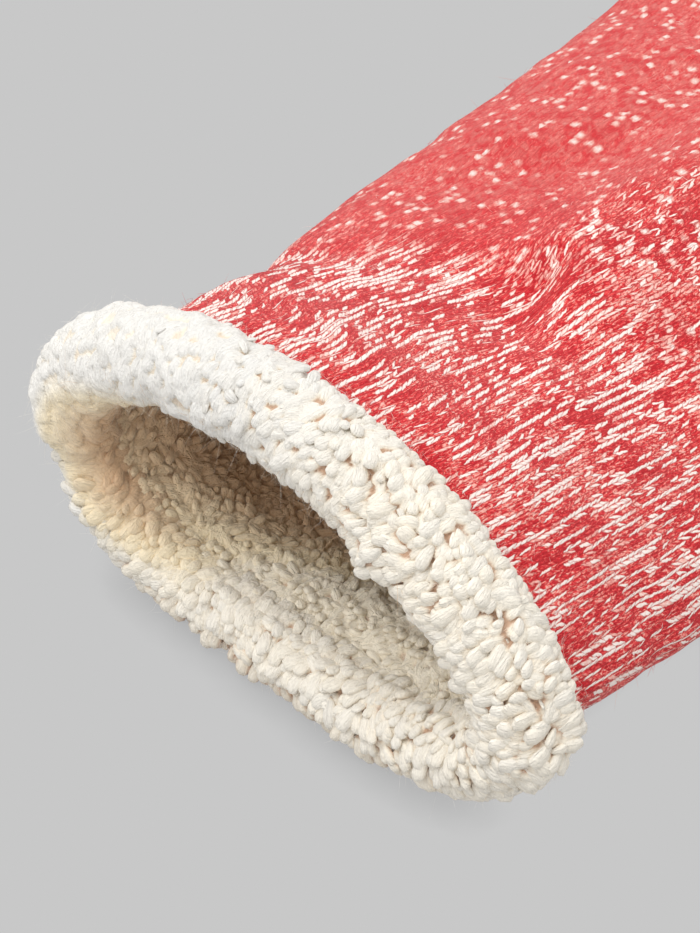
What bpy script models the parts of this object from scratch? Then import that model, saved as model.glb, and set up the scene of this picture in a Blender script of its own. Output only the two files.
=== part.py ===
# One crew sock, laid on its side on a flat surface: a fine outer knit, a
# looped terry inside, and the top edge curled outwards into a fat terry roll.
# The leg runs along +Y from its open mouth, the heel bends to the left and the
# foot ends in a plain closed toe.
#
# Every surface is one family of sections. A section is cut across the sock at
# a station, measured in millimetres along the centre line from the middle of
# the rolled rim, and an inset moves it inwards by that many millimetres.

import math

import bmesh
import bpy
import numpy as np

MM = 0.001

# Centre line
LEG_AXIS_X = 55.3           # where the leg's centre line runs
RIM_Y = -142.8              # where station 0 lies
LEG_LENGTH = 135.0          # station where the heel bend starts
BEND_RADIUS = 60.0
BEND_ANGLE = math.radians(58.0)
FOOT_LENGTH = 160.0         # straight foot, from the end of the bend to the toe tip
TOE_LENGTH = 54.0           # stretch of the foot that rounds off
BEND_END = LEG_LENGTH + BEND_RADIUS * BEND_ANGLE
TOE_TIP = BEND_END + FOOT_LENGTH
TOE_START = TOE_TIP - TOE_LENGTH

# Cloth
KNIT_WALL = 1.5             # outer knit alone, where the terry is its own solid
CLOTH_WALL = 3.6            # knit and pile together, deeper inside
PILE = 2.2                  # terry lining
SEAM_GAP = 0.3
LINING_END = 62.0
ROLL_RADIUS = 5.9
ROLL_CENTRE_INSET = 1.8     # the roll's centre lies this far inside the knit's face
SLOT_DEPTH = 0.5            # how far the roll's slot passes the roll's centre
KNIT_START = -0.2           # station where the knit ends inside the slot

# Shape of a section and of the toe
CREST_POWER = 1.08          # 1 is an ellipse, more is flatter over the shoulders
SOLE_POWERS = (1.5, 1.6)    # how the lower side rounds from the fold to the flat
SOLE_TRIM = 0.4             # depth by which the underside is flattened
FOLD_FADE = 0.6             # how the folds die out towards the sides
TOE_POWER = 2.2             # 2 is an ellipse, more is a squarer toe
TOE_THICKNESS = 0.45        # share of the foot's thickness left at the toe's tip
TOE_CLEARANCE = 1.5         # from the last outer section to the tip
TOE_WALL = 7.0              # from the last inner section to the tip

# Fineness
AROUND = 40                 # points round a section
ROLL_STEPS = 12
TOE_STEPS = 6
RIM_SPACING, LEG_SPACING, HEEL_SPACING, FOOT_SPACING = 4.6, 6.6, 6.4, 13.0
RIM_STRETCH_END = 20.0

COLLECTION = "crew_sock"
RED_MARL = (0.62, 0.13, 0.12)
ECRU = (0.86, 0.80, 0.69)

# left, right   reach from the centre line to each side fold
# crest, side   height of the top, and of the widest line
# floor         height of the underside
# lean          sideways shift of the crest to the left
# tilt          degrees by which the section leans back
COLUMNS = ("station", "left", "right", "crest", "side", "floor", "lean", "tilt")
SECTIONS = (
    (-8.0, 35.2, 41.2, 38.0, 17.5, 3.6, 8.0, 11.0),
    (6.0, 35.2, 41.2, 38.0, 17.5, 3.6, 8.0, 11.0),
    (13.0, 35.6, 41.5, 37.2, 16.5, 0.8, 7.8, 10.5),
    (18.0, 36.4, 41.7, 35.4, 15.5, 0.0, 7.4, 9.8),
    (36.0, 38.6, 42.0, 28.6, 12.5, 0.0, 6.4, 7.4),
    (46.0, 39.8, 42.2, 25.2, 11.5, 0.0, 5.8, 6.0),
    (70.0, 41.8, 42.8, 23.4, 10.0, 0.0, 4.0, 3.0),
    (100.0, 45.0, 43.8, 21.5, 9.0, 0.0, 2.0, 0.0),
    (135.0, 49.0, 47.0, 18.0, 8.0, 0.0, 0.0, 0.0),
    (150.0, 48.5, 63.0, 16.5, 7.5, 0.0, 0.0, 0.0),
    (165.0, 48.0, 71.0, 15.5, 7.0, 0.0, 0.0, 0.0),
    (180.0, 47.0, 63.0, 15.0, 6.8, 0.0, 0.0, 0.0),
    (197.0, 46.0, 50.0, 14.0, 6.5, 0.0, 0.0, 0.0),
    (235.0, 45.0, 46.0, 12.5, 6.0, 0.0, 0.0, 0.0),
    (300.0, 46.0, 47.0, 12.0, 5.5, 0.0, 0.0, 0.0),
    (360.0, 46.0, 47.0, 11.0, 5.0, 0.0, 0.0, 0.0),
)

# Folds are soft ridges on the upper face. Each runs straight from one place to
# another and falls off over its own reach to the left, to the right, before its
# start and past its end.
FOLD_COLUMNS = ("station", "across", "to_station", "to_across",
                "left_reach", "right_reach", "start_reach", "end_reach", "height")
FOLDS = (
    (57.0, -2.0, 104.0, -3.0, 6.0, 19.0, 4.8, 16.0, 6.5),
    (138.0, -30.0, 150.0, 12.0, 7.0, 5.0, 9.0, 12.0, 3.0),
    (160.0, -34.0, 168.0, 6.0, 7.0, 5.0, 9.0, 12.0, 3.2),
    (184.0, -30.0, 176.0, 10.0, 6.0, 6.0, 9.0, 12.0, 2.4),
)


def column(name, station):
    """Value of a named column at a station, on a smooth curve that never overshoots."""
    table = np.array(SECTIONS)
    xs, ys = table[:, 0], table[:, COLUMNS.index(name)]
    step = np.diff(ys) / np.diff(xs)
    slope = np.zeros(len(xs))
    for i in range(1, len(xs) - 1):
        if step[i - 1] * step[i] > 0:
            slope[i] = 2 * step[i - 1] * step[i] / (step[i - 1] + step[i])
    station = min(max(station, xs[0]), xs[-1])
    i = min(int(np.searchsorted(xs, station, side="right")) - 1, len(xs) - 2)
    h = xs[i + 1] - xs[i]
    t = (station - xs[i]) / h
    return ((2 * t**3 - 3 * t**2 + 1) * ys[i] + (t**3 - 2 * t**2 + t) * h * slope[i]
            + (3 * t**2 - 2 * t**3) * ys[i + 1] + (t**3 - t**2) * h * slope[i + 1])


def toe_share(station):
    """Share of the full width that is left at a station, 1 before the toe."""
    reach = min(max((station - TOE_START) / TOE_LENGTH, 0.0), 1.0)
    return math.sqrt(1.0 - reach**TOE_POWER)


def fold_height(station, across):
    """Height that the folds add to the upper face at one place."""
    total = 0.0
    for row in FOLDS:
        fold = dict(zip(FOLD_COLUMNS, row))
        run = np.array((fold["to_station"] - fold["station"], fold["to_across"] - fold["across"]))
        length = float(np.linalg.norm(run))
        run /= length
        away = np.array((station - fold["station"], across - fold["across"]))
        along = float(away @ run)
        beside = float(away @ np.array((-run[1], run[0])))
        side_reach = fold["right_reach"] if beside > 0 else fold["left_reach"]
        short, past = max(-along, 0.0), max(along - length, 0.0)
        total += fold["height"] * math.exp(-((beside / side_reach) ** 2
                                             + (short / fold["start_reach"]) ** 2
                                             + (past / fold["end_reach"]) ** 2) / 2)
    return total


def place(station, across, height):
    """Position, in millimetres, of a point of the sock on its bent centre line."""
    tilt = math.tan(math.radians(column("tilt", station)))
    along = station + tilt * (height - ROLL_RADIUS)
    turn = min(max((along - LEG_LENGTH) / BEND_RADIUS, 0.0), BEND_ANGLE)
    rest = max(along - BEND_END, 0.0)
    reach = BEND_RADIUS + across
    x = LEG_AXIS_X - BEND_RADIUS + reach * math.cos(turn) - rest * math.sin(turn)
    y = RIM_Y + min(along, LEG_LENGTH) + reach * math.sin(turn) + rest * math.cos(turn)
    return x, y, height


def section(station, inset):
    """Closed ring of points round the sock, inset into its outer face."""
    narrow = toe_share(station)
    thin = TOE_THICKNESS + (1.0 - TOE_THICKNESS) * narrow
    left = column("left", station) * narrow - inset
    right = column("right", station) * narrow - inset
    floor = max(column("floor", station) + inset, 0.0)
    crest = column("crest", station) * thin - inset
    side = min(max(column("side", station) * thin, floor + SOLE_TRIM), crest - SOLE_TRIM)
    lean = column("lean", station)
    middle, half = (right - left) / 2, (right + left) / 2
    ring = []
    for i in range(AROUND):
        angle = 2 * math.pi * i / AROUND
        up, down = max(math.sin(angle), 0.0), max(-math.sin(angle), 0.0)
        across = middle + half * math.cos(angle) - lean * up
        if up > 0:
            height = side + (crest - side) * up**CREST_POWER
            height += fold_height(station, across) * up**FOLD_FADE * narrow
        else:
            rounding = (1 - down ** SOLE_POWERS[0]) ** SOLE_POWERS[1]
            height = floor + max((side - floor) * rounding - SOLE_TRIM, 0.0)
        ring.append(place(station, across, height))
    return ring


def spaced(first, last, step):
    """Evenly spaced stations from first to last, no further apart than step."""
    count = math.ceil((last - first) / step)
    return [first + (last - first) * i / count for i in range(count + 1)]


def toe_stations(tip):
    """Stations over the toe that crowd towards its tip."""
    return [TOE_START + (tip - TOE_START) * math.sin(math.pi / 2 * i / TOE_STEPS)
            for i in range(1, TOE_STEPS + 1)]


def lined_stations():
    """Stations from the back of the roll over the stretch that the terry lines."""
    return (spaced(ROLL_RADIUS + SEAM_GAP, RIM_STRETCH_END, RIM_SPACING)
            + spaced(RIM_STRETCH_END, LINING_END, LEG_SPACING)[1:])


def loft(name, rings, material, closed):
    """Solid skinned over rings in order, closed into a loop or capped at both ends."""
    mesh = bmesh.new()
    loops = [[mesh.verts.new([MM * c for c in point]) for point in ring] for ring in rings]
    pairs = list(zip(loops, loops[1:]))
    if closed:
        pairs.append((loops[-1], loops[0]))
    else:
        mesh.faces.new(loops[0])
        mesh.faces.new(loops[-1])
    for near, far in pairs:
        for i in range(AROUND):
            j = (i + 1) % AROUND
            mesh.faces.new((near[i], near[j], far[j], far[i]))
    bmesh.ops.recalc_face_normals(mesh, faces=mesh.faces)
    bmesh.ops.triangulate(mesh, faces=mesh.faces)
    data = bpy.data.meshes.new(name)
    mesh.to_mesh(data)
    mesh.free()
    data.shade_smooth()
    data.set_sharp_from_angle(angle=math.radians(50))
    data.materials.append(material)
    thing = bpy.data.objects.new(name, data)
    bpy.data.collections[COLLECTION].objects.link(thing)


def knit_sock(material):
    """Outer knit with its closed toe. Past the lining its wall is the whole cloth."""
    leg = [KNIT_START] + lined_stations()[:-1] + [LINING_END + SEAM_GAP]
    deep = (spaced(leg[-1], LEG_LENGTH, LEG_SPACING)
            + spaced(LEG_LENGTH, BEND_END, HEEL_SPACING)[1:]
            + spaced(BEND_END, TOE_START, FOOT_SPACING)[1:])
    outer = [section(s, 0.0) for s in leg + deep[1:] + toe_stations(TOE_TIP - TOE_CLEARANCE)]
    thin = [section(s, KNIT_WALL) for s in leg]
    thick = [section(s, CLOTH_WALL) for s in deep + toe_stations(TOE_TIP - TOE_WALL)]
    loft("knit_sock", outer[::-1] + thin + thick, material, closed=False)


def terry_lining(material):
    """Looped pile inside the leg, as far in as it shows through the mouth."""
    face = KNIT_WALL + SEAM_GAP
    outer = [section(s, face) for s in lined_stations()]
    inner = [section(s, face + PILE) for s in lined_stations()]
    loft("terry_lining", outer + inner[::-1], material, closed=True)


def terry_roll(material):
    """Curled top edge: a round bead with a slot at its back that holds the knit."""
    slot_out, slot_in = -SEAM_GAP, KNIT_WALL + SEAM_GAP
    first = math.asin((ROLL_CENTRE_INSET - slot_out) / ROLL_RADIUS)
    last = 2 * math.pi - math.asin((ROLL_CENTRE_INSET - slot_in) / ROLL_RADIUS)
    rings = [section(-SLOT_DEPTH, slot_in), section(-SLOT_DEPTH, slot_out)]
    for i in range(ROLL_STEPS + 1):
        angle = first + (last - first) * i / ROLL_STEPS      # from the slot, over the outside
        rings.append(section(ROLL_RADIUS * math.cos(angle),
                             ROLL_CENTRE_INSET - ROLL_RADIUS * math.sin(angle)))
    loft("terry_roll", rings, material, closed=True)


def yarn(name, colour, roughness):
    """Plain matt material of one yarn colour."""
    material = bpy.data.materials.new(name)
    material.use_nodes = True
    shader = material.node_tree.nodes["Principled BSDF"]
    shader.inputs["Base Color"].default_value = (*colour, 1.0)
    shader.inputs["Roughness"].default_value = roughness
    shader.inputs["Metallic"].default_value = 0.0
    return material


def build():
    for thing in list(bpy.data.objects):
        bpy.data.objects.remove(thing, do_unlink=True)
    bpy.context.scene.collection.children.link(bpy.data.collections.new(COLLECTION))
    knit_sock(yarn("red_marl_knit", RED_MARL, 0.95))
    terry = yarn("ecru_terry", ECRU, 0.98)
    terry_lining(terry)
    terry_roll(terry)


build()
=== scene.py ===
import math

import bpy
import numpy as np
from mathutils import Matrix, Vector


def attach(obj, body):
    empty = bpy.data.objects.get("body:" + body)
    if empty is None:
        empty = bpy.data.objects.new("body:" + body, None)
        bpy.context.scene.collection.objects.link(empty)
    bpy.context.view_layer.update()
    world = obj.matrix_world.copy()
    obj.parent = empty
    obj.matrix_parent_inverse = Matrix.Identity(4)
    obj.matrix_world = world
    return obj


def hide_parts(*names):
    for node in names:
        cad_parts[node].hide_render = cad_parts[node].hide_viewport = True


# One crew sock lying on its side: red and white marl knit outside, looped terry
# inside, and the top edge curled outwards into a fat terry roll.
# All forms are worked out in millimetres, on the solids' sections fitted a little closer.

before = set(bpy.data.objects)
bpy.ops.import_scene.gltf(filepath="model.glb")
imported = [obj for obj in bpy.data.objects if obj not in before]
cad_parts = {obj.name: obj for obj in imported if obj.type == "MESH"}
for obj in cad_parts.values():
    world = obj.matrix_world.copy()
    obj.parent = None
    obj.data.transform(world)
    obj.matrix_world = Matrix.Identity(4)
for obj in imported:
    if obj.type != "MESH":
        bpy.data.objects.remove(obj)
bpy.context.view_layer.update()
millimetre = 0.001
print("frame loaded:", ", ".join(sorted(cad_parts)))

centreLine = {
    "legAxisX": 55.3,
    "rimY": -142.8,  # where station 0, the middle of the roll, lies
    "legLength": 135.0,
    "bendRadius": 60.0,
    "bendAngle": math.radians(58.0),
    "footLength": 160.0,
    "toeLength": 54.0,
}
bendEnd = centreLine["legLength"] + centreLine["bendRadius"] * centreLine["bendAngle"]
toeTip = bendEnd + centreLine["footLength"]
toeStart = toeTip - centreLine["toeLength"]

# left, right: reach to each side fold; crest, side: height of the top and of the
# widest line; floor: height of the underside; lean: shift of the crest to the left;
# tilt: degrees by which the section leans back
sectionColumns = ("station", "left", "right", "crest", "side", "floor", "lean", "tilt")
sectionRows = np.array((
    (-8, 34.6, 42.4, 38, 17.5, 2.1, 8, 11),
    (6, 34.6, 42.4, 38, 17.5, 2.1, 8, 11),
    (13, 33.2, 42.6, 36.9, 16.5, 0.5, 7.6, 10.5),
    (18, 34.4, 42.8, 35.1, 15.5, 0, 7.3, 9.8),
    (36, 36.8, 43.2, 28.2, 12, 0, 6.2, 7.4),
    (46, 40.4, 43.4, 25, 11, 0, 5.7, 6),
    (70, 43.2, 43.8, 23.4, 10, 0, 4, 3),
    (100, 46, 44.4, 21.5, 9, 0, 2, 0),
    (135, 49, 47, 18, 8, 0, 0, 0),
    (150, 48.5, 63, 16.5, 7.5, 0, 0, 0),
    (165, 48, 71, 15.5, 7, 0, 0, 0),
    (180, 47, 63, 15, 6.8, 0, 0, 0),
    (197, 46, 50, 14, 6.5, 0, 0, 0),
    (235, 45, 46, 12.5, 6, 0, 0, 0),
    (300, 46, 47, 12, 5.5, 0, 0, 0),
    (360, 46, 47, 11, 5, 0, 0, 0),
))

# Each crease runs straight from one place to another on the upper face and falls
# off over its own reach to each side and past each end; a trough has a negative height.
creaseColumns = ("station", "across", "toStation", "toAcross",
                 "leftReach", "rightReach", "startReach", "endReach", "height")
creaseRows = (
    (58.5, -2, 104, -3, 6, 16, 3.6, 16, 6.5),
    (138, -30, 150, 12, 7, 5, 9, 12, 3),
    (160, -34, 168, 6, 7, 5, 9, 12, 3.2),
    (184, -30, 176, 10, 6, 6, 9, 12, 2.4),
    # finer ones, along the leg and then over heel and foot
    (24, -30, 30, -31, 5, 5, 4.5, 4.5, 1.3),
    (39, -29, 42, -30, 5, 5, 3.5, 3.5, -0.9),
    (66, -30, 76, -22, 4, 5, 4, 7, -0.8),
    (44, 12, 60, 22, 5, 6, 6, 9, -0.7),
    (84, -33, 96, -20, 4, 5, 5, 8, 0.9),
    (92, 12, 110, 28, 5, 7, 7, 9, -1.1),
    (112, -26, 126, -2, 5, 6, 8, 9, 1.2),
    (148, 22, 160, 40, 5, 5, 7, 8, -1.2),
    (176, 18, 190, 38, 5, 6, 7, 8, 1.3),
    (206, -22, 216, 14, 5, 6, 8, 9, -1),
    (230, -26, 236, 8, 5, 7, 8, 9, 1.1),
    (262, -16, 278, 20, 6, 6, 8, 9, -0.9),
    (304, -22, 316, 12, 6, 7, 8, 9, 0.8),
)

sectionForm = {
    "rollRadius": 5.9,
    "seamGap": 0.3,  # between neighbouring pieces
    "crestPower": 1.08,
    "solePowers": (1.5, 1.6),
    "soleTrim": 0.4,
    "creaseFade": 0.6,
    "creaseEase": 0.32,  # a crease starts ever more gently to its right
    "toePower": 2.2,
    "toeThickness": 0.45,
}


def columnAt(name, station):
    # smooth curve through a named column that never overshoots its rows
    xs, ys = sectionRows[:, 0], sectionRows[:, sectionColumns.index(name)]
    step = np.diff(ys) / np.diff(xs)
    slope = np.zeros(len(xs))
    product = step[:-1] * step[1:]
    same = product > 0
    slope[1:-1][same] = 2 * product[same] / (step[:-1] + step[1:])[same]
    station = np.clip(station, xs[0], xs[-1])
    i = np.clip(np.searchsorted(xs, station, side="right") - 1, 0, len(xs) - 2)
    h = xs[i + 1] - xs[i]
    t = (station - xs[i]) / h
    return ((2 * t**3 - 3 * t**2 + 1) * ys[i] + (t**3 - 2 * t**2 + t) * h * slope[i]
            + (3 * t**2 - 2 * t**3) * ys[i + 1] + (t**3 - t**2) * h * slope[i + 1])


def creaseHeight(station, across):
    total = 0.0
    for row in creaseRows:
        crease = dict(zip(creaseColumns, row))
        run = np.array((crease["toStation"] - crease["station"],
                        crease["toAcross"] - crease["across"]))
        length = np.linalg.norm(run)
        run = run / length
        dy, dx = station - crease["station"], across - crease["across"]
        along = dy * run[0] + dx * run[1]
        beside = dx * run[0] - dy * run[1]
        sideReach = np.where(beside > 0, crease["rightReach"], crease["leftReach"])
        short, past = np.maximum(-along, 0.0), np.maximum(along - length, 0.0)
        startReach = crease["startReach"] * (1.0 + sectionForm["creaseEase"] * np.maximum(beside, 0.0))
        total = total + crease["height"] * np.exp(-((beside / sideReach) ** 2
                                                    + (short / startReach) ** 2
                                                    + (past / crease["endReach"]) ** 2) / 2)
    return total


def facePoint(station, angle, inset):
    # points of the sock, in millimetres, at arrays of stations, angles round the
    # section (0 at the heel's side, a quarter turn at the crest) and insets
    station, angle, inset = np.broadcast_arrays(station, angle, inset)
    form = sectionForm
    reach = np.clip((station - toeStart) / centreLine["toeLength"], 0.0, 1.0)
    narrow = np.sqrt(1.0 - reach ** form["toePower"])
    thin = form["toeThickness"] + (1.0 - form["toeThickness"]) * narrow
    left = columnAt("left", station) * narrow - inset
    right = columnAt("right", station) * narrow - inset
    floor = np.maximum(columnAt("floor", station) + inset, 0.0)
    crest = columnAt("crest", station) * thin - inset
    trim = form["soleTrim"]
    side = np.minimum(np.maximum(columnAt("side", station) * thin, floor + trim), crest - trim)
    up, down = np.maximum(np.sin(angle), 0.0), np.maximum(-np.sin(angle), 0.0)
    across = (right - left) / 2 + (right + left) / 2 * np.cos(angle) - columnAt("lean", station) * up
    upper = side + (crest - side) * up ** form["crestPower"]
    upper = upper + creaseHeight(station, across) * up ** form["creaseFade"] * narrow
    sole = (1 - down ** form["solePowers"][0]) ** form["solePowers"][1]
    lower = floor + np.maximum((side - floor) * sole - trim, 0.0)
    height = np.where(up > 0, upper, lower)
    along = station + np.tan(np.radians(columnAt("tilt", station))) * (height - form["rollRadius"])
    leg, bend = centreLine["legLength"], centreLine["bendRadius"]
    turn = np.clip((along - leg) / bend, 0.0, centreLine["bendAngle"])
    rest = np.maximum(along - bendEnd, 0.0)
    swing = bend + across
    x = centreLine["legAxisX"] - bend + swing * np.cos(turn) - rest * np.sin(turn)
    y = centreLine["rimY"] + np.minimum(along, leg) + swing * np.sin(turn) + rest * np.cos(turn)
    return np.stack((x, y, height), axis=-1)


# degrees round the mouth, and millimetres by which the lip is thinner and further back there
lipRows = ((0, 0), (90, 0), (110, -0.2), (130, -0.7), (150, -1), (167, -0.6), (180, 0.2), (195, 1.2),
           (212, 1.1), (230, 1.6), (252, 1.9), (270, 1.6), (300, 1.3), (320, 0.9), (338, 0.4), (350, 0.1),
           (360, 0))


def byDegrees(rows, angles):
    return np.interp(np.degrees(angles), *np.array(rows).T)


def ramp(value, start, reach):
    return np.clip((value - start) / reach, 0.0, 1.0)


def eased(share):
    return share * share * (3.0 - 2.0 * share)


def spaced(first, last, step):
    return np.linspace(first, last, math.ceil((last - first) / step) + 1)


def stretches(ends, steps):
    # stations through all the ends, each stretch with its own step
    runs = [spaced(first, last, step) for first, last, step in zip(ends, ends[1:], steps)]
    return np.concatenate([runs[0]] + [run[1:] for run in runs[1:]])


def splitRound(upper, lower):
    # even shares of the way round: 0 to 0.5 over the upper face, 0.5 to 1 over the lower one
    return np.concatenate((np.arange(upper) / (2 * upper), 0.5 + np.arange(lower) / (2 * lower)))


def gaps(points, axis=0):
    return np.linalg.norm(np.diff(points, axis=axis), axis=-1)


def runFrom(steps):
    return np.concatenate((np.zeros_like(steps[:1]), steps.cumsum(axis=0)))


def evenAngles(stations, inset, shares, fineness=241):
    # angles that lie at these shares of each section's length
    halves = []
    for start, part in ((0.0, shares[shares < 0.5] * 2), (math.pi, shares[shares >= 0.5] * 2 - 1)):
        short = 1e-4 * (start == 0)  # the upper half stops just before the lower one starts
        fine = start + np.linspace(0, math.pi - short, fineness)
        lengths = runFrom(gaps(facePoint(stations[:, None], fine, inset), axis=1).T).T
        halves.append(np.array([np.interp(part * line[-1], line, fine) for line in lengths]))
    return np.concatenate(halves, axis=1)


def softNoise(points, size, seed, waves=7):
    # smooth, repeatable unevenness from about -1 to 1 at places in millimetres
    dice = np.random.default_rng(seed)
    total = 0.0
    for _ in range(waves):
        way = dice.normal(size=3)
        way *= 2 * math.pi / (size * dice.uniform(0.7, 1.5) * np.linalg.norm(way))
        total = total + np.sin(points @ way + dice.uniform(0, 2 * math.pi))
    return total / (waves / 2)


def unit(vectors):
    return vectors / np.maximum(np.linalg.norm(vectors, axis=-1, keepdims=True), 1e-9)


def gridFaces(rows, columns, first=0, turned=False, ring=False):
    # quads of a closed tube of rows, each a ring of columns; ring joins the last
    # row to the first, and turned makes them face the other way
    i, j = np.meshgrid(np.arange(rows - 1 + ring), np.arange(columns), indexing="ij")
    k = (j + 1) % columns
    m = (i + 1) % rows
    quads = np.stack((i * columns + j, i * columns + k, m * columns + k, m * columns + j), axis=-1)
    quads = quads.reshape(-1, 4) + first
    return quads[:, ::-1] if turned else quads


def newPiece(name, points, faces, materials):
    # the points may be in any grid; none goes under the surface that the sock lies on
    points = np.array(points).reshape(-1, 3)
    points[:, 2] = np.maximum(points[:, 2], 0.0)
    mesh = bpy.data.meshes.new(name)
    mesh.from_pydata((points * millimetre).tolist(), [], list(faces))
    for material in materials:
        mesh.materials.append(material)
    mesh.shade_smooth()
    mesh.update()
    piece = bpy.data.objects.new(name, mesh)
    bpy.context.scene.collection.objects.link(piece)
    return piece


def storeOnPoints(mesh, **layers):
    # each layer holds one number or one direction for every point
    for name, values in layers.items():
        values = np.asarray(values, dtype=np.float32)
        single = values.size == len(mesh.vertices)
        kind, field = ("FLOAT", "value") if single else ("FLOAT_VECTOR", "vector")
        mesh.attributes.new(name, kind, "POINT").data.foreach_set(field, values.ravel())


def storeMap(mesh, name, places):
    mesh.uv_layers.new(name=name).uv.foreach_set("vector", places.astype(np.float32).ravel())


# Materials

def arithmetic(operation, swapped=False):
    def combine(first, second):
        return first.nodes.math(operation, *((second, first) if swapped else (first, second)))
    return combine


class Wire:
    # a value inside a material; plain arithmetic on it adds Math nodes

    def __init__(self, nodes, socket):
        self.nodes, self.socket = nodes, socket

    __add__, __radd__ = arithmetic("ADD"), arithmetic("ADD", swapped=True)
    __sub__, __rsub__ = arithmetic("SUBTRACT"), arithmetic("SUBTRACT", swapped=True)
    __mul__, __rmul__ = arithmetic("MULTIPLY"), arithmetic("MULTIPLY", swapped=True)
    __truediv__, __mod__, __pow__ = arithmetic("DIVIDE"), arithmetic("MODULO"), arithmetic("POWER")

    def __abs__(self):
        return self.nodes.math("ABSOLUTE", self)


class Nodes:
    # short hand for wiring a material

    def __init__(self, name):
        self.material = bpy.data.materials.new(name)
        self.material.use_nodes = True
        self.tree = self.material.node_tree
        self.shader = self.tree.nodes["Principled BSDF"]

    def wire(self, value, socket):
        if isinstance(value, Wire):
            self.tree.links.new(value.socket, socket)
        elif isinstance(value, (tuple, list)) and len(value) == 3 and socket.type == "RGBA":
            socket.default_value = (*value, 1.0)
        else:
            socket.default_value = value

    def node(self, kind, output=0, inputs=(), **settings):
        node = self.tree.nodes.new("ShaderNode" + kind)
        for setting, value in settings.items():
            setattr(node, setting, value)
        for socket, value in dict(inputs).items():
            self.wire(value, node.inputs[socket])
        return Wire(self, node.outputs[output])

    def math(self, operation, *values, clamp=False):
        return self.node("Math", 0, dict(enumerate(values)), operation=operation, use_clamp=clamp)

    def floor(self, value):
        return self.math("FLOOR", value)

    def centred(self, value):  # place between two whole numbers, from -0.5 to 0.5
        return self.math("FRACT", value) - 0.5

    def step(self, value, low, high):  # smoothly from 0 at low to 1 at high
        ends = {"Value": value, "From Min": low, "From Max": high}
        return self.node("MapRange", 0, ends, interpolation_type="SMOOTHSTEP")

    def mix(self, share, first, second, blend="MIX"):
        colours = {"Factor": share, 6: first, 7: second}
        return self.node("Mix", 2, colours, data_type="RGBA", blend_type=blend)

    def vector(self, x, y, z=0.0):
        return self.node("CombineXYZ", 0, {0: x, 1: y, 2: z})

    def noise(self, place, scale, detail, distortion=0.0, dimensions="3D"):
        settings = {"Vector": place, "Scale": scale, "Detail": detail, "Distortion": distortion}
        return self.node("TexNoise", "Fac", settings, noise_dimensions=dimensions)

    def flatNoise(self, x, y, detail=1.0, distortion=0.0):
        return self.noise(self.vector(x, y), 1.0, detail, distortion, "2D")

    def chance(self, x, y):
        return self.node("TexWhiteNoise", "Value", {"Vector": self.vector(x, y)}, noise_dimensions="2D")

    def spots(self, x, y):
        # distance to the nearest scattered spot, and that spot's own chance
        settings = {"Vector": self.vector(x, y), "Scale": 1.0, "Randomness": 0.9}
        near = self.node("TexVoronoi", "Distance", settings, voronoi_dimensions="2D")
        return near, self.node("SeparateColor", 0, {0: Wire(self, near.socket.node.outputs["Color"])})

    def parts(self, place):
        first = self.node("SeparateXYZ", 0, {0: place})
        return [Wire(self, socket) for socket in first.socket.node.outputs]

    def mapped(self, name):
        return self.parts(self.node("UVMap", uv_map=name))[:2]

    def attribute(self, name, output="Fac"):
        return self.node("Attribute", output, attribute_name=name)

    def objectPlace(self):
        return self.node("TexCoord", "Object")

    def towards(self, name, share):
        # the surface's own normal, leaned towards a direction stored on the piece
        ways = {"Factor": share, 4: self.node("NewGeometry", "Normal"), 5: self.attribute(name, "Vector")}
        leaned = self.node("Mix", 1, ways, data_type="VECTOR")
        return self.node("VectorMath", 0, {0: leaned}, operation="NORMALIZE")

    def bump(self, height, distance, below=None):
        inputs = {"Distance": distance, "Height": height}
        if below:
            inputs["Normal"] = below
        self.wire(self.node("Bump", 0, inputs), self.shader.inputs["Normal"])

    def cover(self, colour, roughness, sheen=None, tint=None):
        sockets = self.shader.inputs
        self.wire(colour, sockets["Base Color"])
        sockets["Roughness"].default_value = roughness
        sockets["Specular IOR Level"].default_value = 0.15
        if sheen:
            sockets["Sheen Weight"].default_value = sheen
            sockets["Sheen Roughness"].default_value = 0.6
            sockets["Sheen Tint"].default_value = (*tint, 1.0)
        return self.material


marlKnit = {
    "coursePitch": 1.2,
    "tilt": 0.40,  # of each stitch's leg from its wale
    "slant": 0.6,  # courses that a stitch's leg climbs across its width
    "wander": 0.30, "warp": 0.20, "ragged": 0.22,  # wales that a stitch strays aside, coarse to fine
    "jitter": 2.0,  # and courses that it strays along its wale
    "middle": 0.062,  # X, in metres, from which the reds darken to the left
    "fade": 1.8,
    "bar": 0.518, "oddBar": 0.14,  # how rare the streaks are, and how much rarer on every other leg
    "sideBar": 1.3,  # and how much commoner to both sides
    "streakReach": (43.0, 60.0),  # millimetres from the rim over which the long streaks end
    "veeReach": (76.0, 94.0),  # over which the white stitches behind them end
    "softReach": (52.0, 92.0),  # and over which the stitches go under the fuzz
    "softDrift": 1100.0, "streakDrift": 250.0,  # how much further off they end to the right
    "fleckGrid": (0.66, 0.54),  # lone stitches to a wale and to a millimetre
    "fleckChosen": (0.60, 0.95),
    # dark red of the darkest fibres, and also the painted shade in the grooves between legs and stitches
    "darkFibreAndGrooveShade": (0.46, 0.007, 0.014),
    "deep": (0.59, 0.014, 0.026),
    "red": (0.75, 0.040, 0.045),
    "rose": (0.84, 0.20, 0.165),
    "pink": (0.90, 0.48, 0.41),
    "white": (0.95, 0.87, 0.81),
    "hazy": (0.86, 0.25, 0.21),
    "dulled": (0.85, 0.86, 0.86),  # of the far part, seen soft
    "sheenTint": (1.0, 0.66, 0.62),
    "bump": 0.00011,
}


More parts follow.
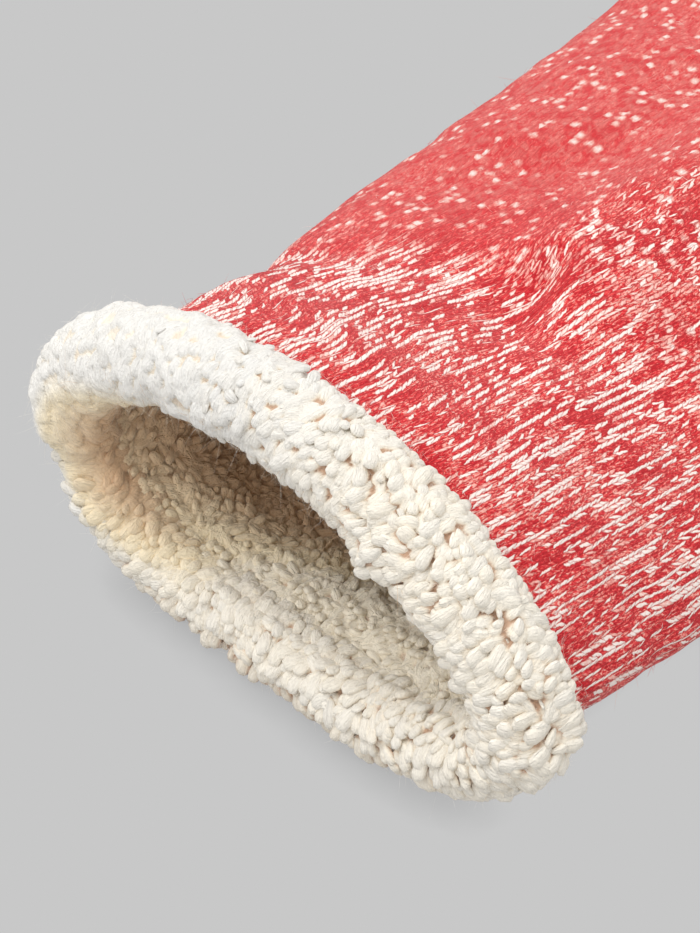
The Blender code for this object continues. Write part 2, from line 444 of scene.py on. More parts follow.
def makeMarlKnit():
    n = Nodes("redMarlKnit")
    marl = marlKnit
    u, v = n.mapped("stitch")
    place = n.objectPlace()
    fibre = n.flatNoise(u * 5.5, v * 1.6, 3.0, 0.6)
    fuzz = n.noise(place, 1700.0, 3.0)
    grain = n.noise(place, 3900.0, 3.0)
    wander = (n.noise(place, 200.0, 1.0) - 0.5) * marl["wander"]
    warp = (fuzz - 0.5) * marl["warp"]
    ragged = (n.noise(place, 2700.0, 1.0) - 0.5) * marl["ragged"]

    # each wale has two legs of stitches, which lean to it from both sides
    legs = (u + wander + (warp + ragged)) * 2.0
    leg = n.floor(legs)
    x = n.centred(legs)
    odd = leg % 2.0
    turn = 1.0 - odd * 2.0
    phase = v / marl["coursePitch"] - turn * x * marl["slant"] + n.noise(place, 900.0, 3.0) * marl["jitter"]
    dash = n.floor(phase)
    y = n.centred(phase)
    leaning = x - turn * y * marl["tilt"]
    acrossLeg = 1.0 - abs(x * 2.0) ** 2.2
    alongLeg = 1.0 - abs(y * 2.0) ** 3.2
    relief = acrossLeg ** 0.6 * alongLeg ** 0.45
    rightward = n.math("MINIMUM", n.math("MAXIMUM", n.parts(place)[0], 0.030), 0.072) - 0.050
    leftward = marl["middle"] - n.parts(place)[0]
    soft = n.step(v - rightward * marl["softDrift"], *marl["softReach"])

    # long white streaks along single legs near the rim
    lot = n.chance(leg, dash)
    streak = n.flatNoise(4.7 + leg * 7.13, dash * 0.11)
    streak = streak + (n.flatNoise(leg * 3.71, dash * 0.42, 0.0) - 0.5) * 0.50 + (lot - 0.5) * 0.34
    bar = marl["bar"] + odd * marl["oddBar"] - abs(leftward - 0.007) * marl["sideBar"]
    ends = abs(y * 2.0) ** 4.0
    narrow = abs(leaning) + (fibre - 0.5) * 0.55 + ends * 0.15 + (lot - 0.5) * 0.20
    streaky = n.step(streak, bar - 0.03, bar + 0.07) * (1.0 - n.step(narrow, 0.16, 0.80))
    streaky = streaky * (1.0 - soft * 0.35)
    edge = (n.noise(place, 90.0, 1.0) - 0.5) * 24.0 - rightward * marl["streakDrift"]
    plain = n.step(v + edge, *marl["streakReach"])

    # single white stitches, both legs of each, to the right beyond the streaks
    wale = n.floor(legs * 0.5)
    group = n.flatNoise(wale * 0.31, dash * 0.17)
    vees = n.step(n.chance(wale + 13.3, dash) + (group - 0.5), 0.44, 0.90)
    vees = vees * (1.0 - n.step(narrow + ends * 0.3, 0.05, 0.75))
    vees = vees * plain * n.step(rightward, -0.004, 0.004) * n.step(n.chance(leg + 5.1, dash), 0.15, 0.45)
    vees = vees * (1.0 - n.step(v, *marl["veeReach"]))

    # lone white stitches beyond, round and blurred by their own fuzz
    away, pick = n.spots((u + warp) * marl["fleckGrid"][0], v * marl["fleckGrid"][1])
    cluster = n.flatNoise(u * 0.16, v * 0.11)
    chosen = n.step(pick + (cluster - 0.5) * 0.8, *marl["fleckChosen"])
    flecked = chosen * (1.0 - n.step(away + (fuzz - 0.5) * 0.40, -0.05, 0.66))
    white = n.math("ADD", streaky * (1.0 - plain) + vees, flecked * (0.15 + plain * 0.80), clamp=True)

    # reds: a mottle of dark and faded fibres, each stitch with a tone of its own
    tone = n.chance(leg + 31.7, dash)
    faded = n.noise(place, 130.0, 2.0)
    mottle = 0.0
    for value, share in ((fibre, 1.5), (grain, 0.25), (fuzz, 0.25), (faded, 0.7), (tone, 0.3)):
        mottle = mottle + (value - 0.5) * share
    mottle = mottle - leftward * marl["fade"]
    red = n.mix(n.step(mottle, -0.30, -0.08), marl["darkFibreAndGrooveShade"], marl["deep"])
    red = n.mix(n.step(mottle, -0.14, 0.05), red, marl["red"])
    red = n.mix(n.step(mottle, 0.03, 0.24), red, marl["rose"])
    red = n.mix(n.step(mottle, 0.16, 0.38) * 0.9, red, marl["pink"])
    blotch = n.flatNoise(u * 0.9, v * 0.5, 3.0, 0.5)
    hazy = n.mix(n.step(blotch, 0.30, 0.76), marl["red"], marl["hazy"])
    red = n.mix(soft * 0.65, red, hazy)
    flaky = ((grain - 0.5) * 0.4 + (fibre - 0.5) * 0.9) * (1.0 - soft * 0.5)
    colour = n.mix(n.step(white + flaky * 0.6, 0.08, 0.60), red, marl["pink"])
    colour = n.mix(n.step(white + flaky, 0.40, 1.0) * 0.96, colour, marl["white"])
    # painted shade: the grooves between the legs and stitches are darkened towards the dark red, less on the
    # white and in the soft far part
    depth = n.step(relief + (fibre - 0.5) * 0.9, 0.16, 0.90)
    grooveShade = (1.0 - depth) * (1.0 - soft * 0.65) * (1.0 - white * 0.5)
    colour = n.mix(grooveShade * 0.85, colour, marl["darkFibreAndGrooveShade"])
    colour = n.mix(soft, colour, n.mix(1.0, colour, marl["dulled"], "MULTIPLY"))
    n.bump(relief * (0.7 - soft * 0.4) + (fibre * 0.7 + white * 0.12), marl["bump"])
    return n.cover(colour, 0.92, 0.22, marl["sheenTint"])


ecruTerry = {
    # painted shade: the pile's hollows and the undersides of its loops go from cream down through shade to
    # the crevice brown
    "creviceShade": (0.62, 0.40, 0.27),
    "shade": (0.90, 0.80, 0.65),
    "cream": (0.98, 0.91, 0.785),
    "pale": (0.86, 0.84, 0.80),
    "inner": (1.0, 0.86, 0.60),  # painted shade with warm bounce light on the pile inside the mouth, and the painted dark shade deeper in
    "innermost": (0.75, 0.50, 0.30),
    "fuzzTip": (0.96, 0.94, 0.90),
    "sheenTint": (1.0, 0.95, 0.87),
    "fluff": 0.2,  # how far the pile takes light as one soft mass
    "bump": 0.00024, "groundBump": 0.0007,
}


def coverTerry(n, colour):
    return n.cover(colour, 0.95, 0.45, ecruTerry["sheenTint"])


def makeTerryPile():
    n = Nodes("ecruTerryPile")
    terry = ecruTerry
    u, v = n.mapped("yarn")
    tint = n.attribute("tint")
    inside = n.attribute("inside")
    place = n.objectPlace()
    # painted shade inside the mouth: the stored inside share turns the pile to the warm inner colour, then to
    # the deep brown
    shadeInside = n.step(inside, 0.0, 0.30)
    # painted shade: lift, from the pile's height, its whiter tint and the shade inside, picks the crevice
    # brown low down and cream on top
    lift = n.attribute("depth") + (n.noise(place, 500.0, 2.0) - 0.5) * 0.30 + (tint * 0.45 + shadeInside * 0.25)
    colour = n.mix(n.step(lift, 0.10, 0.50), terry["creviceShade"], terry["shade"])
    colour = n.mix(n.step(lift, 0.35, 0.80), colour, terry["cream"])
    colour = n.mix(n.step(lift, 0.3, 0.9) * tint, colour, terry["pale"])
    inner = n.mix(n.step(lift, 0.15, 0.70), terry["shade"], terry["inner"])
    colour = n.mix(shadeInside * 0.95, colour, inner)
    colour = n.mix(n.step(inside, 0.15, 0.95), colour, terry["innermost"])
    fibres = n.flatNoise(u * 5.0, v * 0.8, 3.0, 0.6)
    strand = 0.93 + n.step(fibres, 0.30, 0.60) * 0.07
    colour = n.mix(1.0, colour, n.vector(strand, strand, strand), "MULTIPLY")
    surface = fibres * 0.9 + n.noise(place, 2600.0, 3.0) * 0.8
    n.bump(surface, terry["bump"], n.towards("nap", terry["fluff"]))
    return coverTerry(n, colour)


def makeTerryGround():
    # the plain pile deeper in the sock, painted in the browns of its crevice shade and its deep shade
    n = Nodes("ecruGround")
    grain = n.noise(n.objectPlace(), 1300.0, 3.0, 0.8)
    n.bump(grain, ecruTerry["groundBump"])
    return coverTerry(n, n.mix(n.step(grain, 0.35, 0.65), ecruTerry["creviceShade"], ecruTerry["innermost"]))


def makeTerryFuzz():
    n = Nodes("ecruTerryFuzz")
    colour = n.mix(n.attribute("tint"), ecruTerry["cream"], ecruTerry["fuzzTip"])
    # painted shade: fibres inside the mouth go towards the deep shade brown
    return coverTerry(n, n.mix(n.step(n.attribute("inside"), 0.1, 0.9), colour, ecruTerry["innermost"]))


def makeMarlFuzz():
    n = Nodes("redMarlFuzz")
    tint = n.attribute("tint")
    colour = n.mix(n.step(tint, 0.3, 0.6), marlKnit["red"], marlKnit["pink"])
    return n.cover(n.mix(n.step(tint, 0.7, 0.85), colour, marlKnit["white"]), 0.9)


marlKnitMaterial = makeMarlKnit()
terryFuzzMaterial = makeTerryFuzz()
knitFuzzMaterial = makeMarlFuzz()
terryMaterial = makeTerryPile()
groundMaterial = makeTerryGround()
print("materials made")

# Outer knit: a closed wall whose outer face carries the wales as real ridges

knitShell = {
    "wales": (90, 78),  # over the upper face and over the lower one
    "waleRelief": 0.22,
    "start": -0.2,  # hidden in the back of the roll
    "liningEnd": 62.0,
    "thinWall": 1.5,
    "clothWall": 3.6,
    "lipReach": 8.0,  # how far behind the roll the knit follows its set-back places
    "unevenness": 0.35,
    "lumps": ((14.0, 3, 0.6), (6.0, 4, 0.4)),  # size, seed and share of each
    "outerSteps": (1.1, 1.6, 2.0, 3.0),  # lined leg, leg, heel and foot
    "innerSteps": (2.5, 3.0, 3.5, 6.0),
    "toeRows": (22, 12),  # on the outer face and on the inner one
    "toeShort": (0.4, 7.0),  # and how far they stop before the tip
    "innerEvery": 4,  # outer columns to one inner column
    # half wales that the wales swing to the left behind the roll, and then back, by degrees
    "swing": ((0, 1), (45, 1.5), (85, 8), (120, 12), (150, 12), (200, 2), (360, 1)),
    "swingBack": ((0, 1), (45, 6), (85, 8), (120, 6), (150, 6), (200, 2), (360, 1)),
    "swingEnds": (7.0, 35.0, 64.0),  # stations where the swing starts, turns and ends
}


def toeStations(face):
    share = np.sin(np.linspace(0, math.pi / 2, knitShell["toeRows"][face]))
    return toeStart + (toeTip - knitShell["toeShort"][face] - toeStart) * share


def outerStations():
    ends = (knitShell["start"], knitShell["liningEnd"], centreLine["legLength"], bendEnd, toeStart)
    return np.concatenate((stretches(ends, knitShell["outerSteps"]), toeStations(0)[1:]))


def innerStations():
    thinStep, *thickSteps = knitShell["innerSteps"]
    thin = spaced(knitShell["start"], knitShell["liningEnd"] + sectionForm["seamGap"], thinStep)
    ends = (thin[-1], centreLine["legLength"], bendEnd, toeStart)
    return thin, np.concatenate((stretches(ends, thickSteps), toeStations(1)[1:]))


def swungAngles(stations, angles):
    # the wales swing to the left behind the roll, and back at the fold
    begin, turn, end = knitShell["swingEnds"]
    go = np.sin(ramp(stations, begin, turn - begin) * math.pi / 2)[:, None] ** 2
    back = np.sin(ramp(stations, turn, end - turn) * math.pi / 2)[:, None] ** 2
    swing = go * byDegrees(knitShell["swing"], angles) - back * byDegrees(knitShell["swingBack"], angles)
    rings = np.concatenate((angles, np.full((len(stations), 1), 2 * math.pi)), axis=1)
    columns = np.arange(angles.shape[1])
    return np.stack([np.interp((columns + shift) % len(columns), np.arange(len(ring)), ring)
                     for shift, ring in zip(swing, rings)])


def behindLip(stations, angles):
    fade = np.clip(1.0 - stations / knitShell["lipReach"], 0.0, 1.0)[:, None]
    return stations[:, None] + np.maximum(byDegrees(lipRows, angles), 0.0) * fade


def makeKnitShell():
    upper, lower = knitShell["wales"]
    shares = splitRound(2 * upper, 2 * lower)
    columns = len(shares)
    stations = outerStations()
    angles = swungAngles(stations, evenAngles(stations, 0.0, shares))
    valley = (np.arange(columns) % 2 == 0) * knitShell["waleRelief"]
    face = facePoint(stations[:, None], angles, 0.0)
    lumps = sum(softNoise(face, size, seed) * share for size, seed, share in knitShell["lumps"])
    outer = facePoint(behindLip(stations, angles), angles, valley - lumps * knitShell["unevenness"])
    outer[..., 2] = np.maximum(outer[..., 2], 0.0)

    every = knitShell["innerEvery"]
    inner = []
    for at, wall in zip(innerStations(), (knitShell["thinWall"], knitShell["clothWall"])):
        around = evenAngles(at, wall, shares[::every])
        inner.append(facePoint(behindLip(at, around), around, wall))
    inner = np.concatenate(inner)
    rows, innerRows, few = len(stations), len(inner), len(shares[::every])

    first, last = rows * columns, (rows - 1) * columns
    faces = gridFaces(rows, columns, turned=True).tolist()
    outerCount = len(faces)
    faces += gridFaces(innerRows, few, first).tolist()
    for j in range(few):  # rim between the outer and the inner face
        run = [(every * j + k) % columns for k in range(every + 1)]
        faces.append(run + [first + (j + 1) % few, first + j])
    faces.append([last + j for j in range(columns - 1, -1, -1)])
    faces.append([first + (innerRows - 1) * few + j for j in range(few)])

    points = np.concatenate((outer.reshape(-1, 3), inner.reshape(-1, 3)))
    piece = newPiece("knitShell", points, faces, [marlKnitMaterial, groundMaterial])
    mesh = piece.data
    inside = np.zeros(len(faces), dtype=np.int32)
    inside[outerCount:] = 1
    inside[-2] = 0  # the toe's flat tip is outside
    mesh.polygons.foreach_set("material_index", inside)

    # stitch map: wales across, millimetres along each wale
    run = runFrom(gaps(outer))
    uv = np.zeros((len(mesh.loops), 2))
    i, j = np.meshgrid(np.arange(rows - 1), np.arange(columns), indexing="ij")
    k = (j + 1) % columns
    across = np.stack((j, j + 1, j + 1, j), axis=-1)[..., ::-1] / 2.0
    along = np.stack((run[i, j], run[i, k], run[i + 1, k], run[i + 1, j]), axis=-1)[..., ::-1]
    uv[:outerCount * 4] = np.stack((across.reshape(-1), along.reshape(-1)), axis=-1)
    tip = outer[-1, ::-1]
    corner = mesh.polygons[len(faces) - 2].loop_start
    uv[corner:corner + columns] = np.stack((tip[:, 1], run[-1].mean() + tip[:, 2]), axis=-1)
    storeMap(mesh, "stitch", uv)
    return piece


knitPiece = makeKnitShell()
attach(knitPiece, "root")
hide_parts("knit_sock")
print("knit shell:", len(knitPiece.data.polygons), "faces")

# Terry: soft lobes of yarn, pressed together, raised out of one fine skin

terryLobes = {
    "stray": (0.25, 0.4),  # along its row and out of it, as a share of the gap
    "lengths": (0.8, 1.25), "widths": (0.85, 1.2), "heights": (0.85, 1.12),  # least, most
    "head": 0.15,  # how much wider a lobe is at its head
    "lean": 0.2,  # how far it leans along the nap
    "dome": 0.5,  # 0.5 is round, less is flatter on top
    "cleft": (0.1, 0.45),  # depth, and share of the lobes that are cleft
    "cleftWidth": 0.16, "cleftEnd": 0.45,
    "tint": 0.3,  # of the whitest
    "mapDrift": 60,  # how far apart the lobes' own yarn maps may lie
}


def scatterLobes(skin, pile, crowding, dice):
    # row and column of lobes in jittered rows; crowding widens the gaps from row to row
    rows, columns = skin.shape[:2]
    rowGap, lobeGap = pile["spacing"]
    stray, rowStray = terryLobes["stray"]
    way = runFrom(gaps(skin).mean(axis=1))
    places = []
    at = 0.0
    while at < way[-1]:
        row = np.interp(at, way, np.arange(rows))
        wider = np.interp(row, np.arange(rows), crowding)
        line = np.concatenate((skin[int(row)], skin[int(row), :1]))
        run = runFrom(gaps(line))
        count = int(run[-1] / (lobeGap * wider))
        along = np.arange(count) + dice.uniform(0.5 - stray, 0.5 + stray, count) + dice.uniform()
        along = along / count % 1.0 * run[-1]
        jitter = dice.uniform(-rowStray, rowStray, count) * rowGap * wider
        places.append((np.interp(at + jitter, way, np.arange(rows)),
                       np.interp(along, run, np.arange(columns + 1)), np.full(count, wider)))
        at += rowGap * wider
    row, column, wider = np.concatenate(places, axis=1)
    return row.round().astype(int), column.round().astype(int) % columns, wider


def raiseLobes(skin, normal, pile, crowding, dice):
    # height of the pile over every point of the skin, and the lobe that it belongs to
    rows, columns = skin.shape[:2]
    row, column, wider = scatterLobes(skin, pile, crowding, dice)
    row = np.clip(row, 1, rows - 2)
    middle, out = skin[row, column], normal[row, column]
    count = len(middle)
    patch = np.stack([softNoise(middle, pile["patchSize"], seed) for seed in (21, 22, 23)], axis=-1)
    fall = unit(skin[row + 1, column] - skin[row - 1, column])
    fall = fall * np.where(fall[:, 2:] > 0.0, -1.0, 1.0)
    way = patch * pile["patch"] + dice.normal(size=(count, 3)) * pile["stray"] + fall * pile["droop"]
    way = unit(way - out * (way * out).sum(1, keepdims=True))
    side = np.cross(out, way)
    long = pile["length"] / 2 * dice.uniform(*terryLobes["lengths"], count) * wider
    wide = pile["width"] / 2 * dice.uniform(*terryLobes["widths"], count) * wider
    tall = pile["height"] * dice.uniform(*terryLobes["heights"], count)
    cleftDepth, cleftShare = terryLobes["cleft"]
    split = cleftDepth * (dice.uniform(0, 1, count) < cleftShare)
    apart = np.linalg.norm(skin - np.roll(skin, 1, axis=1), axis=2)
    between = gaps(skin)
    best = np.zeros((rows, columns))
    total = np.ones((rows, columns))
    owner = np.zeros((rows, columns), dtype=int)
    for lobe in range(count):
        r, c = row[lobe], column[lobe]
        down = int(long[lobe] / between[min(r, rows - 2), c]) + 1
        over = int(long[lobe] / apart[r, c]) + 1
        near = np.ix_(np.arange(max(r - down, 0), min(r + down + 1, rows)),
                      np.arange(c - over, c + over + 1) % columns)
        away = skin[near] - middle[lobe]
        a, b = away @ way[lobe] / long[lobe], away @ side[lobe] / wide[lobe]
        swell = 1.0 + terryLobes["head"] * a
        dome = np.maximum(1.0 - a * a - (b / swell) ** 2, 0.0) ** terryLobes["dome"]
        rise = tall[lobe] * (1.0 + pile["rear"] * a) * dome
        cleft = np.exp(-(b / terryLobes["cleftWidth"]) ** 2) * (a < terryLobes["cleftEnd"])
        rise = rise * (1.0 - split[lobe] * cleft)
        total[near] += np.exp(rise * pile["crisp"]) - 1.0
        higher = rise > best[near]
        best[near] = np.where(higher, rise, best[near])
        owner[near] = np.where(higher, lobe, owner[near])
    return np.log(total) / pile["crisp"], owner, middle, way, side


def pilePiece(name, skin, normal, inside, pile, crowding, dice, backing, loft=1.0, whiter=0.0, shadeDarkening=0.0):
    # backing: more rows of points that close the skin behind; loft: how far the
    # lobes stand up at each place; whiter: 0 for cream there, 1 for white
    height, owner, middle, way, side = raiseLobes(skin, normal, pile, crowding, dice)
    # depth: the lobes' height, which sets their painted crevice shade, lowered wherever more painted shade is
    # given
    depth = height / pile["height"] - shadeDarkening
    height = height * loft
    lumps = softNoise(skin, pile["lumpSize"], 31) * pile["lumps"]
    lean = way[owner] * (height * terryLobes["lean"])[..., None]
    front = skin + normal * (height + lumps)[..., None] + lean
    rows, columns = skin.shape[:2]
    faces = gridFaces(rows + len(backing), columns, ring=True)
    piece = newPiece(name, np.concatenate((front, backing)), faces.tolist(), [terryMaterial])

    def backed(values, behind):
        return np.concatenate((values, np.broadcast_to(behind, (len(backing),) + values.shape[1:])))

    tint = np.clip(dice.uniform(0, terryLobes["tint"], len(middle))[owner] + whiter, 0.0, 1.0)
    storeOnPoints(piece.data, depth=backed(depth, 0.0), tint=backed(tint, 0.0), inside=backed(inside, 0.5),
                  nap=backed(normal, normal[0, 0]))
    # yarn map: across and along the lobe that a face belongs to
    mine = backed(owner, 0).ravel()[faces[:, 0]]
    away = backed(skin, 0.0).reshape(-1, 3)[faces] - middle[mine][:, None]
    drift = dice.uniform(0, terryLobes["mapDrift"], len(middle))[mine][:, None]
    yarn = [(away * axis[mine][:, None]).sum(2) + drift for axis in (side, way)]
    storeMap(piece.data, "yarn", np.stack(yarn, axis=-1))
    return piece, front, way[owner]


def manyPiece(name, points, pattern, material, **layers):
    # like bodies in one mesh: a row of points and one value of each layer to a body
    count, each = points.shape[:2]
    faces = [[each * body + corner for corner in face] for body in range(count) for face in pattern]
    piece = newPiece(name, points, faces, [material])
    storeOnPoints(piece.data, **{layer: np.repeat(values, each, axis=0) for layer, values in layers.items()})
    return piece


petalForm = {
    "sizes": (0.65, 1.25), "lengths": (0.85, 1.2), "tints": (-0.1, 0.35),  # least and most
    "sway": 0.18,
    "swell": 0.3,  # how much wider it is towards its head
    "bluntness": 2.8,
    "endShade": (0.45, 0.25),  # painted shade at its two ends: the value between them, and how much lighter at its head
    "sideShade": (0.62, 0.38),  # painted shade round its girth: at its sides, and how much lighter on top than underneath
}


def petalPiece(name, root, out, way, petal, dice, shadeInside, whiter, larger=1.0, shadeDarkening=0.0):
    # plump closed loops of yarn lying on the pile, each raised at its head
    count, form = len(root), petalForm
    side = np.cross(out, way)
    size = dice.uniform(*form["sizes"], count)
    long = petal["length"] / 2 * (size * dice.uniform(*form["lengths"], count) * larger)[:, None]
    wide = petal["width"] / 2 * (size * larger)[:, None]
    pitch = dice.uniform(*petal["pitch"], count)[:, None]
    sway = dice.uniform(-form["sway"], form["sway"], count)[:, None]
    (endShade, headLighter), (sideShade, topLighter) = form["endShade"], form["sideShade"]
    sides, rings = petal["sides"], petal["rings"]
    flat = np.broadcast_to(petal["flatness"] * np.minimum(larger, 1.0), (count,))[:, None]
    points, mapped, depth = [], [], []
    for t in np.cos(math.pi * (1 - np.arange(rings + 2) / (rings + 1))):
        middle = (root + way * long * t + out * long * (pitch * t - petal["arch"] * t * t)
                  + side * long * sway * t * t)
        if abs(t) > 0.999:  # the loop's two ends
            points.append(middle)
            depth.append(np.full(count, endShade + headLighter * t))
            mapped.append(np.concatenate((0.0 * long, long * t), axis=1))
            continue
        girth = math.sqrt(1.0 - abs(t) ** form["bluntness"]) * (1.0 + form["swell"] * t)
        for k in range(sides):
            turn = 2 * math.pi * k / sides
            reach = side * wide * math.cos(turn) + out * wide * flat * math.sin(turn)
            points.append(middle + reach * girth)
            depth.append(np.full(count, sideShade + topLighter * math.sin(turn)))
            mapped.append(np.concatenate((wide * math.cos(turn), long * t), axis=1))
    points, mapped = np.stack(points, axis=1), np.stack(mapped, axis=1)
    each = points.shape[1]
    tail, head = 1, each - 1 - sides  # first points of the end rings
    pattern = [(0, tail + (k + 1) % sides, tail + k) for k in range(sides)]
    for first in range(tail, head, sides):
        pattern += [(first + k, first + (k + 1) % sides, first + sides + (k + 1) % sides, first + sides + k)
                    for k in range(sides)]
    pattern += [(each - 1, head + k, head + (k + 1) % sides) for k in range(sides)]
    tint = np.clip(dice.uniform(*form["tints"], count) + whiter, 0.0, 1.0)
    piece = manyPiece(name, points, pattern, terryMaterial, tint=tint, inside=shadeInside, nap=out)
    mesh = piece.data
    # painted shade: the stored depth darkens each loop's tail and underside, and more under the roll
    storeOnPoints(mesh, depth=np.stack(depth, axis=1) - np.broadcast_to(shadeDarkening, (count,))[:, None])
    corners = np.zeros(len(mesh.loops), dtype=np.int32)
    mesh.loops.foreach_get("vertex_index", corners)
    drift = np.repeat(dice.uniform(0, terryLobes["mapDrift"], count), each)[:, None]
    storeMap(mesh, "yarn", (mapped.reshape(-1, 2) + drift)[corners])
    return piece


fibreForm = {
    "lengths": (0.5, 2.3, 4),  # least, spread, and how rare the long ones are
    "lifts": (0.1, 1.0),
    "places": (-0.06, 0.36, 0.7, 1.0),  # of its rings, the first under the surface
    "taper": (1.0, 0.85, 0.55),
}


def fuzzPiece(name, root, out, way, fuzz, dice, material, shadeInside):
    # fine curved fibres, each a closed spike of three sides, rooted in a surface
    count = len(root)
    least, spread, rarity = fibreForm["lengths"]
    length = fuzz["length"] * (least + spread * dice.uniform(0, 1, count) ** rarity)[:, None]
    lift = fuzz["lift"] * dice.uniform(*fibreForm["lifts"], count)[:, None]
    turned = dice.normal(size=(count, 3)) * fuzz["stray"]
    start = unit(unit(way + turned - out * (turned * out).sum(1, keepdims=True)) + out * lift)
    bend = dice.normal(size=(count, 3)) * fuzz["curl"] - out * lift * 0.5
    path = [root + (start * t + bend * t * t) * length for t in fibreForm["places"]]
    first = unit(np.cross(start, out))
    second = np.cross(start, first)
    rings = []
    for place, share in zip(path, fibreForm["taper"]):
        for corner in (0.0, 2 * math.pi / 3, 4 * math.pi / 3):
            reach = first * math.cos(corner) + second * math.sin(corner)
            rings.append(place + reach * fuzz["thickness"] / 2 * share)
    points = np.stack(rings + [path[3]], axis=1)
    pattern = [(0, 2, 1)]
    for k, m in ((0, 1), (1, 2), (2, 0)):
        pattern += [(k, m, m + 3), (k, m + 3, k + 3), (k + 3, m + 3, m + 6), (k + 3, m + 6, k + 6),
                    (k + 6, m + 6, 9)]
    return manyPiece(name, points, pattern, material, tint=dice.uniform(0, 1, count), inside=shadeInside)


terryRoll = {
    "centreInset": 1.8,
    "slotDepth": 0.5,
    "bedding": 0.95,  # share of the pile's height that lies inside the roll's outline
    "around": (410, 370),  # points over the upper half of the mouth and under it
    "steps": 116,
    "spacing": (1.65, 1.2),  # of the lobes, along the roll's profile and round the mouth
    "length": 2.5, "width": 1.55, "height": 1.2,
    "rear": 0.2, "crisp": 16.0,
    "lumps": 0.3, "lumpSize": 5.0,
    "droop": 1.0, "patch": 0.7, "stray": 0.15, "patchSize": 8.0,
    "pressed": ((0, 0.1), (30, 0.25), (60, 0.5), (90, 0.7), (120, 1), (175, 1), (205, 0.5), (240, 0.2),
                (300, 0), (360, 0.1)),  # how far the pile is flat and soft, by degrees
    "loft": (0.9, 0.5),  # how far the free pile stands up, and the pressed
    "under": (3.6, 0.9),  # radians round the roll to its underside's end, and of its fading
    "underLoss": 0.6,
    "leftEnd": (0.3, 0.6),  # where the deeper painted shade at the left end of the mouth starts, and its reach
    # painted shade on the skin between the loops of the free pile
    "freeShade": 0.4,
    "shadeTurn": (1.1, 0.25, 0.6),  # half turns to the mouth's shade, less at the left end, and its reach
    "shade": (0.05, 0.8),  # its strength, and how much more at the left end
    "whiteEnd": (0.5, 1.4),  # radians from the left end to the whitest pile, and its strength
    # place round the mouth and round the roll in degrees, size and height
    "clumps": ((52, 212, 2.6, 1.5), (38, 205, 2.0, 0.8), (75, 150, 2.6, 0.6), (100, 200, 3.0, 0.5),
               (350, 120, 3.0, 0.5), (268, 215, 3.0, 0.4), (18, 80, 2.5, 0.5)),
}

rollLoops = {
    "spacing": (1.75, 1.35),
    "length": 2.9, "width": 1.65, "flatness": 0.7,
    "pitch": (0.2, 0.6), "arch": 0.22,
    "sink": 0.4, "softSink": 0.3,  # deeper in the pressed upper left
    "sinkSpread": (-0.15, 0.3), "lowerLift": 0.12,
    "thinned": (1.6, 0.55, 0.3),  # how fast they thin out where pressed, from where, and underneath
    "larger": (1.1, 0.55),  # size of the free ones, and the loss of the pressed
    # painted shade on the loops under the roll
    "underShade": 0.6,
    "sides": 8, "rings": 4,
    "edge": 3,  # rows without them at both ends of the roll
}

terryCurls = {
    "count": 320,  # long stray fibres along the upper inner edge
    "from": (30, 180), "to": (150, 245),  # degrees round the mouth and round the roll
    "length": 1.2, "lift": 0.6, "stray": 1.4, "curl": 1.3, "thickness": 0.042,
}

terryFuzz = {
    "count": 10500,
    "rootLift": 0.55,  # how high among the loops it starts
    "length": 0.75, "lift": 0.5, "stray": 0.9, "curl": 0.8, "thickness": 0.028,
}


def skinRadius(trim):
    # radius of the skin under the roll's pile, where its lip is thinner by trim
    return sectionForm["rollRadius"] - trim - terryRoll["height"] * terryRoll["bedding"]


